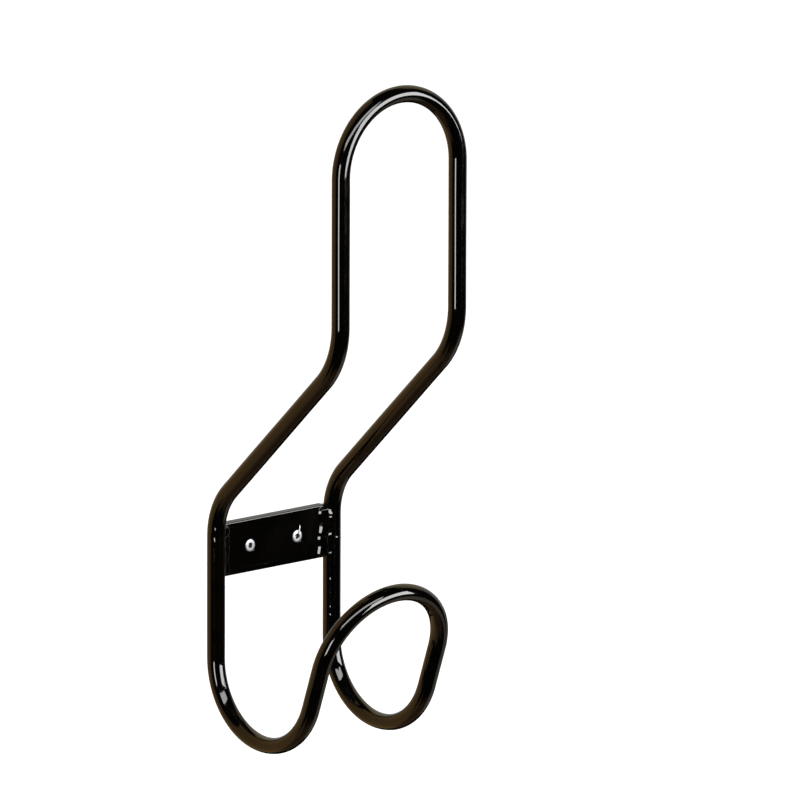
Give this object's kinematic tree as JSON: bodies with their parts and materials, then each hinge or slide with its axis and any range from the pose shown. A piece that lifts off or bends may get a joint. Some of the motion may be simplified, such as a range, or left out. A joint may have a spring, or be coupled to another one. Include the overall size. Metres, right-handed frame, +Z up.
{
  "type": "wall-mounted helmet and bridle rack",
  "caption": "Wall rack of bent, black-coated steel tube: a tall hoop holds a riding helmet, a turned-up loop below holds a bridle, and a welded plate screws to the wall.",
  "frame": {"origin": "middle of the wall plate's back face, which lies on the wall", "axes": "+X to the right as seen facing the wall, +Y into the wall, -Y out from the wall, +Z up"},
  "size_m": [0.1336, 0.1949, 0.5329],
  "materials": {
    "tube_coating": "deep gloss black plastic coating on steel tube",
    "plate_coating": "gloss black plastic coating on a flat steel bar, slightly uneven",
    "weld_coating": "gloss black coating over a lumpy weld bead",
    "bare_steel": "uncoated drawn steel, hidden inside the tubes",
    "zinc_plate": "bright zinc plate"
  },
  "bodies": {
    "root": {"helmet_hoop_tube": "tube_coating", "bridle_loop_tube": "tube_coating", "wall_plate": "plate_coating", "left_front_weld": "weld_coating", "left_rear_weld": "weld_coating", "left_joint_weld": "weld_coating", "left_joint_spigot": "bare_steel", "left_wall_screw": "zinc_plate", "right_front_weld": "weld_coating", "right_rear_weld": "weld_coating", "right_joint_weld": "weld_coating", "right_joint_spigot": "bare_steel", "right_wall_screw": "zinc_plate"}
  },
  "joints": []
}
